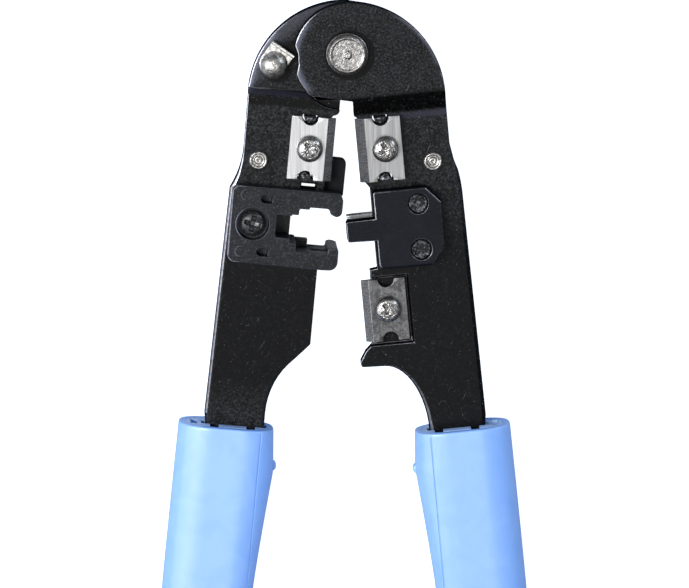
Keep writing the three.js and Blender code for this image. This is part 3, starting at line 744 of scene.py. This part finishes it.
# The left bevel is likewise paler than the right one: painted light
BEVEL_LEFT = bevel_steel("blade_bevel_left", (0.42, 0.42, 0.43))
BEVEL_RIGHT = bevel_steel("blade_bevel_right", (0.115, 0.115, 0.12))
CUTTER_BEVEL = bevel_steel("cutter_bevel", (0.26, 0.26, 0.27))
BRIGHT_EDGE = plated("blade_edge", (0.8, 0.8, 0.8), 0.25, 3.0, 0.01)
PUNCH = ground_steel("punch_steel", (0.5, 0.5, 0.5), (0.33, 0.33, 0.34), 0.4, 6.0)
DIE = moulded("die_plastic", (0.006, 0.006, 0.007), (0.012, 0.012, 0.014), 0.36, 6.0, 0.18, 0.42)
PRESS = moulded("press_steel", (0.0045, 0.005, 0.0085), (0.0075, 0.008, 0.012), 0.30, 2.0, 0.1, 0.08)
STOP = moulded("stop_plastic", (0.008, 0.008, 0.009), (0.012, 0.012, 0.013), 0.5, 5.0, 0.1)
BLUE = moulded("handle_plastic", (0.262, 0.465, 0.940), (0.298, 0.505, 0.955), 0.36, 3.0, 1.0)
# The liner's plastic is paler than the shell's to stand for light on the handles' end faces: painted
# light
CORE = moulded("core_plastic", (0.400, 0.580, 0.920), (0.450, 0.620, 0.940), 0.45, 3.0, 1.0)
WIRE = plated("spring_wire", (0.42, 0.42, 0.43), 0.35, 2.0, 0.01)


# ---- Steel halves, die and press block ----
LEFT_HOLES = [axis_of(n, "left") for n in (
    "left_pin_upper", "left_pin_lower", "left_blade_screw", "left_spring_rivet", "latch_rivet",
    "die_screw")]
RIGHT_HOLES = [axis_of(n, "right") for n in (
    "right_pin_upper", "right_pin_lower", "right_blade_screw", "right_spring_rivet", "cutter_screw",
    "press_rivet_upper", "press_rivet_lower")]
fine_copy("left_arm", "left_frame", "left", [STEEL_LEFT, EDGE_LEFT, STEEL_WALL],
          0.9, 4, bend=0.3, holes=LEFT_HOLES, wall=2)
fine_copy("right_arm", "right_frame", "right", [STEEL_RIGHT, EDGE_RIGHT, STEEL_WALL],
          0.9, 4, bend=0.2, holes=RIGHT_HOLES, wall=2, fold_material=0)
fine_copy("crimp_die_body", "crimp_die", "left", [DIE, DIE_EDGE], 0.45, 4)
fine_copy("stop_plate", "strip_stop", "left", [STOP], 0.3)
fine_copy("press_body", "press_block", "right", [PRESS, EDGE_PRESS, STEEL_WALL],
          0.5, 4, wall=2)
fine_copy("contact_comb", "contact_punch", "right", [PUNCH], 0.1, 2)
fine_copy("latch_tab", "swivel_latch", "left", [LATCH], 0.15, 2, body="latch")


# ---- Blades ----
BEVEL_LEAN = (0.2, 0.98)  # between these lies the Z of a cutting face's normal


def blade(name, node, half, face, bevel):
    """A blade whose sloping cutting face has a ground finish of its own."""
    obj = fine_copy(name, node, half, [face, BRIGHT_EDGE, bevel], 0.07, 2)
    for polygon in obj.data.polygons:
        if BEVEL_LEAN[0] < polygon.normal.z < BEVEL_LEAN[1]:
            polygon.material_index = 2


blade("left_blade", "left_strip_blade", "left", BLADE_LEFT, BEVEL_LEFT)
blade("right_blade", "right_strip_blade", "right", BLADE_RIGHT, BEVEL_RIGHT)
blade("cutter", "cutter_blade", "right", CUTTER, CUTTER_BEVEL)


# ---- Screws, rivets and pins ----
SHANK_R = 1.45
LOW_HEAD_R = 2.92  # a screw with a smaller head has a low one


def measured(node, half):
    """Lowest and highest point and greatest radius of an upright round node, in millimetres."""
    low, high = local_box(node, half)
    return low.z, high.z, (high.x - low.x) / 2


def cross_depth(x, y, turn, reach, wing, depth):
    """How far a worn cross recess goes down at a point of the head."""
    c, s = math.cos(turn), math.sin(turn)
    u, v = c * x + s * y, -s * x + c * y
    deepest = 0.0
    for along, across in ((abs(u), abs(v)), (abs(v), abs(u))):
        side = min(1, max(0, (wing - across) / 0.12 + 0.5))
        end = min(1, max(0, (reach - along) / 0.55))
        floor = depth * (1 - 0.55 * min(1, along / reach))
        deepest = max(deepest, floor * side * end)
    hub = depth * min(1, max(0, (1.25 * wing - math.hypot(x, y)) / 0.3 + 0.5))
    return max(deepest, hub)


def screw(name, node, half, material, slot, turn, reach, wing, depth, dents, seed):
    """A pan-head screw whose cross is turned by some degrees."""
    tail, top, radius = measured(node, half)
    base = top - (2.2 if radius > LOW_HEAD_R else 1.75)
    profile = filleted([
        (0, tail), (SHANK_R - 0.3, tail), (SHANK_R, tail + 0.4), (SHANK_R, base), (radius, base),
        (radius, base + 0.45 * (top - base)), (radius * 0.8, base + 0.82 * (top - base)),
        (radius * 0.42, top - 0.02), (0, top),
    ], 0.5, 4)
    crown = base + 0.4 * (top - base)

    def relief(x, y, r, z):
        if z < crown or r > reach + 0.3:
            return 0
        dent = dents * max(0, lumps(x, y, 2.6, seed)) + 0.6 * dents * abs(lumps(x, y, 6.0, seed))
        return -cross_depth(x, y, math.radians(turn), reach, wing, depth) - dent

    turned(name, node, half, material, densified(profile, 0.07), 120, relief)


BLADE_CROSS = (1.75, 0.42, 1.05)  # reach, half width and depth
DIE_CROSS = (2.0, 0.5, 1.2)
screw("left_screw", "left_blade_screw", "left", SCREW, "plated_steel", 38, *BLADE_CROSS, 0.16, 1.0)
screw("right_screw", "right_blade_screw", "right", SCREW, "plated_steel", 22, *BLADE_CROSS, 0.12, 2.0)
screw("cutter_screw_head", "cutter_screw", "right", SCREW, "plated_steel", 31, *BLADE_CROSS, 0.18, 3.0)
screw("die_screw_head", "die_screw", "left", BLACK_SCREW, "black_screw", 80, *DIE_CROSS, 0.02, 4.0)


def pivot():
    """The pivot rivet: a stepped head with a struck hollow, and a broad tail behind the left disc."""
    tail, top, radius = measured("pivot_rivet", "left")
    base, shank, tail_top = top - 2.1, 3.4, 3.75
    profile = filleted([
        (0, tail), (3.6, tail), (4.3, tail + 0.5), (4.4, tail_top), (shank, tail_top), (shank, base),
        (radius, base), (radius, base + 0.55), (radius - 0.3, base + 0.75), (radius - 0.4, top - 0.45),
        (radius - 0.85, top - 0.02), (3.6, top - 0.05), (3.35, top - 0.22), (1.0, top - 0.26),
        (0.7, top - 0.06), (0, top - 0.08),
    ], 0.3, 4)

    def relief(x, y, r, z):
        if z < top - 0.9 or r > radius - 0.5:
            return 0
        fade = min(1, (radius - 0.5 - r) / 0.4)
        pits = 0.04 * lumps(x, y, 2.1, 7.0) + 0.05 * lumps(x, y, 7.0, 9.0)
        return min(0.0, fade * pits - 0.02)

    turned("pivot_head", "pivot_rivet", "left", STRUCK,
           densified(profile, 0.1), 128, relief)


def latch_dome():
    """The domed rivet of the latch, a little dented at the top."""
    tail, top, radius = measured("latch_rivet", "left")
    rise, steps, dented = 2.44, 14, 1.3
    base = top - rise
    dome = []
    for i in range(steps + 1):
        a = math.radians(90 * i / steps)
        reach = radius * math.cos(a) ** 0.9 if i < steps else 0
        dome.append(Vector((reach, base + rise * math.sin(a))))
    stem = filleted([
        (0, tail), (2.3, tail), (2.6, tail + 1.5), (SHANK_R, tail + 1.5), (SHANK_R, base),
        (radius, base),
    ], 0.3)

    def relief(x, y, r, z):
        if r > dented or z < base + 1:
            return 0
        return -0.10 * max(0, lumps(x, y, 1.9, 5.0)) * (dented - r)

    turned("latch_dome", "latch_rivet", "left", PLATED,
           densified(stem[:-1] + dome, 0.12), 96, relief)


def hollow_rivet(name, node, half):
    """A small rivet with a ring-shaped groove in its head."""
    tail, top, radius = measured(node, half)
    front = top - 0.9
    profile = filleted([
        (0, tail), (1.9, tail), (2.1, tail + 0.3), (2.1, tail + 0.7), (SHANK_R, tail + 0.7),
        (SHANK_R, front), (radius, front), (radius, front + 0.5), (radius - 0.3, top),
        (radius - 0.62, top - 0.05), (radius - 0.8, front + 0.12), (0.98, front + 0.1),
        (0.78, front + 0.62), (0.3, front + 0.58), (0, front + 0.3),
    ], 0.22, 4)
    turned(name, node, half, PLATED, densified(profile, 0.15), 72)


def flush_rivet(name, node, half):
    """A rivet whose dished head lies level with the block that it holds."""
    tail, top, _ = measured(node, half)
    head, head_r = top - 0.75, 2.05
    profile = filleted([
        (0, tail), (2.3, tail), (2.6, tail + 0.4), (2.6, tail + 1.1), (SHANK_R, tail + 1.1),
        (SHANK_R, head), (head_r, head), (head_r, top - 0.1), (1.85, top), (1.62, top - 0.12),
        (0, top - 0.16),
    ], 0.16, 3)
    turned(name, node, half, WORN_STEEL, densified(profile, 0.2), 72)


def pin(name, node, half, facing):
    """A half-round stud: a domed bar with the side away from its blade's middle cut off."""
    low, high = local_box(node, half)
    radius = (high.x - low.x) / 2
    centre = ((low.x + high.x) / 2, low.y if facing > 0 else high.y)
    profile = filleted([
        (0, low.z), (radius, low.z), (radius, high.z - 0.75), (radius * 0.72, high.z - 0.2),
        (radius * 0.36, high.z - 0.02), (0, high.z),
    ], 0.4, 5)
    bm = bmesh.new()
    spin(bm, centre, densified(profile, 0.15), 48)
    bmesh.ops.bisect_plane(
        bm, geom=[*bm.verts, *bm.edges, *bm.faces], dist=1e-7, plane_co=Vector((*centre, 0)) * MM,
        plane_no=(0, -facing, 0), clear_outer=True)
    bmesh.ops.holes_fill(bm, edges=[e for e in bm.edges if e.is_boundary])
    piece(name, mesh_from(bm, name), half, [PIN], node)


pivot()
latch_dome()
for side in ("left", "right"):
    hollow_rivet(f"{side}_hollow_rivet", f"{side}_spring_rivet", side)
    for place, facing in (("upper", -1), ("lower", 1)):
        pin(f"{side}_stud_{place}", f"{side}_pin_{place}", side, facing)
for place in ("upper", "lower"):
    flush_rivet(f"press_stud_{place}", f"press_rivet_{place}", "right")


# ---- Return spring ----
def arc_points(centre, radius, start, end, steps, height):
    points = []
    for i in range(steps + 1):
        a = math.radians(start + (end - start) * i / steps)
        x, y = radius * math.cos(a), radius * math.sin(a)
        points.append(Vector((centre.x + x, centre.y + y, height)))
    return points


def row_centre(node):
    low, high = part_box(node)
    return (low + high) / 2


SPRING_EYE_R = 2.4 * MM
SPRING_ARCH_R = 6.9 * MM
SPRING_WIRE_R = 0.68 * MM


def return_spring():
    """A wire bent round the pivot's tail, with an eye on each arm's small rivet."""
    left, right = row_centre("left_spring_rivet"), row_centre("right_spring_rivet")
    height = row_centre("return_spring").z
    path = [
        *arc_points(left, SPRING_EYE_R, -100, 150, 20, height),
        *arc_points(PIVOT, SPRING_ARCH_R, 170, 10, 24, height),
        *arc_points(right, SPRING_EYE_R, 30, 280, 20, height),
    ]
    curve = bpy.data.curves.new("spring_path", "CURVE")
    curve.dimensions = "3D"
    curve.bevel_depth = SPRING_WIRE_R
    curve.bevel_resolution = 5
    curve.resolution_u = 4
    curve.use_fill_caps = True
    spline = curve.splines.new("BEZIER")
    spline.bezier_points.add(len(path) - 1)
    for point, at in zip(spline.bezier_points, path):
        point.co = at
        point.handle_left_type = point.handle_right_type = "AUTO"
    holder = linked("spring_path", curve)
    mesh = applied(holder)
    bpy.data.objects.remove(holder)
    smooth_by_angle(mesh, 50)
    mesh.materials.clear()
    mesh.materials.append(WIRE)
    obj = linked("spring_wire", mesh)
    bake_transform(obj)
    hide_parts("return_spring")


return_spring()


# ---- Handles ----
HANDLES = {
    "left": {"side": -1, "x": -19.2, "top": -86.3, "seam": 7.7},
    "right": {"side": 1, "x": 18.2, "top": -87.2, "seam": 7.5},
}
HANDLE_WIDTH = 21.8
HANDLE_THICKNESS = 14.0
HANDLE_END = -184.0
HANDLE_END_ROUND = 7.0
HANDLE_TOP = -87.0  # between the two handles' own tops
ABOVE_HANDLES = -80
NUB_Y = -96.0
WALL = 1.6
CORE_GAP = 0.03
CORE_SINK = 0.04  # from a handle's rim down to its liner
CORE_DEPTH = 16.0
SECTION_POWER = 0.7  # below 1 the oval section is squarer
SEAM_DEPTH = 0.22
# Each point's distance round the section from the seam, and its share of the seam's depth
SEAM_POINTS = [
    (-0.05, 0.0), (-0.02, 0.05), (-0.008, 0.6), (0.0, 1.0), (0.008, 0.6), (0.02, 0.05), (0.05, 0.0)]
SEAM_MARGIN = 0.06
SECTION_STEPS = 34
# Openings for the tang in a liner's end, from the tool's middle line outwards, and their heights
MOUTH = (10.3, 25.0)
MOUTH_END = -91.6
TANG_SLOT = (14.2, 23.9)
TANG_Z = (5.3, 8.7)
# Others, from the handle's middle outwards: two notches, a groove and its floor's height, and a
# hole with its lower and upper height
NOTCHES = (-5.35, 2.85)
GROOVE = (-7.5, 5.8, 11.2)
CORING = (6.7, 8.2, 4.6, 9.4)


def inner_relief(y):
    """How far the inner side of a handle bows away from the other handle."""
    if y > NUB_Y:
        return 0.085 * (y - NUB_Y)
    along = (NUB_Y - y) / (NUB_Y - HANDLE_END)
    return 2.3 * math.sin(math.pi * along) + 0.8 * along


def handle_ring(spec, y, inset=0.0, squeeze=1.0, groove=0.0):
    """One section of a handle; points cluster at the seam, which is pressed in by the groove's depth."""
    along = (HANDLE_TOP - y) / (HANDLE_TOP - HANDLE_END)
    inner = HANDLE_WIDTH / 2 + 0.5 - inset - inner_relief(y)
    outer = HANDLE_WIDTH / 2 - inset + 0.5 * math.sin(math.pi * along)
    half = HANDLE_THICKNESS / 2 - inset
    seam = math.pi - math.acos(min(1, max(0, spec["seam"] / (inner * squeeze))) ** (1 / SECTION_POWER))
    front, back = seam - SEAM_MARGIN, 2 * (math.pi - seam - SEAM_MARGIN)
    steps = [i / SECTION_STEPS for i in range(SECTION_STEPS)]
    angles = [(front * t, 0.0) for t in steps]
    angles += [(seam + d, g) for d, g in SEAM_POINTS]
    angles += [(seam + SEAM_MARGIN + back * t, 0.0) for t in steps[1:]]
    angles += [(2 * math.pi - seam - d, g) for d, g in reversed(SEAM_POINTS)]
    angles += [(2 * math.pi - front + front * t, 0.0) for t in steps[1:]]
    ring = []
    for a, g in angles:
        c = math.copysign(abs(math.cos(a)) ** SECTION_POWER, math.cos(a))
        s = math.copysign(min(1, 1.02 * abs(math.sin(a)) ** SECTION_POWER), math.sin(a))
        reach = c * (outer if c > 0 else inner) * squeeze
        depth = half * squeeze - g * groove
        ring.append((spec["x"] + spec["side"] * reach, y, HANDLE_THICKNESS / 2 + s * depth))
    return ring


def skin(bm, rings):
    """A closed skin over sections of equal length, with a flat cap at each end."""
    made = [[bm.verts.new(Vector(p) * MM) for p in ring] for ring in rings]
    close_rings(bm, made, len(made[0]))
    bm.faces.new(made[0])
    bm.faces.new(made[-1])


def add_nub(bm, spec):
    """The small round stop on the inner side of a handle, near its top."""
    x = spec["x"] - spec["side"] * (HANDLE_WIDTH / 2 - 0.2)
    y = spec["top"] - 8.7
    radius, bottom, top = 1.25, 5.6, 8.4
    spin(bm, (x, y), filleted([(0, bottom), (radius, bottom), (radius, top), (0, top)], 0.6, 6), 40)


def handle_shell(half, spec):
    """A hollow handle: from the bottom of its bore up, over the lip, and down to the rounded end."""
    top = spec["top"]
    rings = [handle_ring(spec, top - depth, WALL) for depth in (CORE_DEPTH + 6, 8, 3, 0.5, 0)]
    lip, lip_steps = 0.35, 4
    for i in range(lip_steps + 1):
        a = math.pi / 2 * i / lip_steps
        rings.append(handle_ring(spec, top - lip * (1 - math.cos(a)), lip * (1 - math.sin(a))))
    first, last, side_steps = top - 0.9, HANDLE_END + HANDLE_END_ROUND, 48
    for i in range(side_steps + 1):
        y = first + (last - first) * i / side_steps
        rings.append(handle_ring(spec, y, groove=SEAM_DEPTH))
    sweep, end_steps = 1.35, 14
    for i in range(1, end_steps + 1):
        a = sweep * i / end_steps
        y = HANDLE_END + HANDLE_END_ROUND * (1 - math.sin(a) / math.sin(sweep))
        groove = SEAM_DEPTH * (1 - i / end_steps)
        rings.append(handle_ring(spec, y, squeeze=math.cos(a) ** 0.6, groove=groove))
    bm = bmesh.new()
    skin(bm, rings)
    add_nub(bm, spec)
    name = f"{half}_handle"
    piece(name, mesh_from(bm, name, 50), half, [BLUE], f"{name}_shell")


def block(low, high):
    """A box between two corners in millimetres, to cut with."""
    bm = bmesh.new()
    bmesh.ops.create_cube(bm, size=1.0)
    size = Vector(high) - Vector(low)
    centre = (Vector(high) + Vector(low)) / 2
    for vertex in bm.verts:
        vertex.co = Vector([(centre[i] + vertex.co[i] * size[i]) * MM for i in range(3)])
    return bm


def cut_away(obj, bm):
    """Takes the solid that bm describes out of the object."""
    bmesh.ops.recalc_face_normals(bm, faces=bm.faces)
    tool = linked("cutter_tool", baked(bm, "cutter_tool"))
    modifier = obj.modifiers.new("cut", "BOOLEAN")
    modifier.operation = "DIFFERENCE"
    modifier.solver = "EXACT"
    modifier.object = tool
    bpy.context.view_layer.update()
    cut = applied(obj)
    obj.modifiers.clear()
    obj.data = cut
    bpy.data.objects.remove(tool)


def handle_core(half, spec):
    """The liner in a handle's mouth, cut out round the arm's tang."""
    side, top = spec["side"], spec["top"]
    inset = WALL + CORE_GAP
    rings = [handle_ring(spec, y, inset) for y in (top - CORE_DEPTH, top - 8, top - CORE_SINK)]
    bm = bmesh.new()
    skin(bm, rings)
    bmesh.ops.recalc_face_normals(bm, faces=bm.faces)
    obj = linked(f"{half}_liner", baked(bm, f"{half}_liner"))
    middle = abs(spec["x"])

    def cut_end(a, b, end, z0, z1):
        """Opens the end from a to b across and from z0 to z1 in height, down to the line y = end."""
        x0, x1 = sorted((side * a, side * b))
        cut_away(obj, block((x0, end, z0), (x1, ABOVE_HANDLES, z1)))

    cut_end(*MOUTH, MOUTH_END, *TANG_Z)
    cut_end(*TANG_SLOT, top - CORE_DEPTH - 5, *TANG_Z)
    for x in NOTCHES:
        cut_end(middle + x - 1, middle + x + 1, top - 5, TANG_Z[1] - 0.2, HANDLE_THICKNESS)
    cut_end(middle + GROOVE[0], middle + GROOVE[1], top - 4, GROOVE[2], HANDLE_THICKNESS)
    cut_end(middle + CORING[0], middle + CORING[1], top - 9, CORING[2], CORING[3])
    smooth_by_angle(obj.data, 30)
    obj.data.transform(HALF[half])
    obj.data.materials.append(CORE)
    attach(obj, BODY[half])
    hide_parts(f"{half}_handle_core")


for half_name, handle in HANDLES.items():
    handle_shell(half_name, handle)
    handle_core(half_name, handle)


# ---- Floor, lights and camera ----
def floor():
    """A pale floor: white to the camera, a soft cool light to plastic and grey in polished metal."""
    bm = bmesh.new()
    bmesh.ops.create_grid(bm, x_segments=2, y_segments=2, size=6)
    obj = linked("floor", baked(bm, "floor"))
    f = Finish("floor_white", (0.86, 0.86, 0.86), 0.9, 0.0, 0.0)
    grain = f.noise(0.02, 3)
    pale = f.tint(grain, (0.44, 0.62, 0.84), (0.48, 0.65, 0.86))
    set_inputs(f.shader, {"Emission Color": (1, 1, 1, 1)})
    seen = f.new("LightPath")
    f.color(f.tint(seen.outputs["Is Glossy Ray"], pale, (0.5, 0.5, 0.5)))
    f.link(seen.outputs["Is Camera Ray"], f.shader.inputs["Emission Strength"])
    obj.data.materials.append(f.material)


TARGET = Vector((0, 0.02, 0.01))


def lamp(name, place, size, power, color=(1, 1, 1)):
    """A square or oblong lamp that shines at the tool's jaws."""
    data = bpy.data.lights.new(name, "AREA")
    data.shape = "RECTANGLE"
    data.size, data.size_y = size
    data.energy = power
    data.color = color
    obj = linked(name, data)
    obj.location = place
    obj.rotation_mode = "QUATERNION"
    obj.rotation_quaternion = (TARGET - Vector(place)).to_track_quat("-Z", "Y")


floor()
lamp("key", (-0.50, 0.15, 1.05), (0.30, 0.45), 9)
lamp("left_box", (-0.86, 0.03, 0.66), (1.1, 1.0), 7.6, (0.94, 0.95, 1.0))
lamp("right_strip", (0.66, 0.55, 0.38), (0.2, 0.6), 2.3, (0.84, 0.9, 1.0))
lamp("overhead", (0.06, -0.18, 1.35), (0.7, 0.7), 2.7)


def studio():
    """A cool room, whose walls polished metal mirrors as grey."""
    world = bpy.data.worlds.new("studio")
    SCENE.world = world
    world.use_nodes = True
    tree = world.node_tree
    background = set_inputs(tree.nodes["Background"], {"Strength": 0.24})
    ray = tree.nodes.new("ShaderNodeLightPath")
    room = tree.nodes.new("ShaderNodeMix")
    room.data_type = "RGBA"
    set_inputs(room, {6: (0.25, 0.60, 1.0, 1), 7: (0.30, 0.30, 0.31, 1)})
    tree.links.new(ray.outputs["Is Glossy Ray"], room.inputs["Factor"])
    tree.links.new(room.outputs[2], background.inputs["Color"])
    SCENE.view_settings.view_transform = "Standard"


def camera(place, aim, lens):
    """A camera with the tool's length upright in its view; places are from the pivot, in millimetres."""
    data = bpy.data.cameras.new("camera")
    data.sensor_width = 36
    data.lens = lens
    obj = linked("camera", data)
    obj.location = PIVOT + Vector(place) * MM
    back = (obj.location - (PIVOT + Vector(aim) * MM)).normalized()
    right = Vector((0, 1, 0)).cross(back).normalized()
    obj.rotation_mode = "QUATERNION"
    obj.rotation_quaternion = Matrix((right, back.cross(right), back)).transposed().to_quaternion()
    SCENE.camera = obj


studio()
camera(place=(-56.19, 147.37, 1189.57), aim=(-0.469, -54.598, 8), lens=279)

bpy.context.view_layer.update()
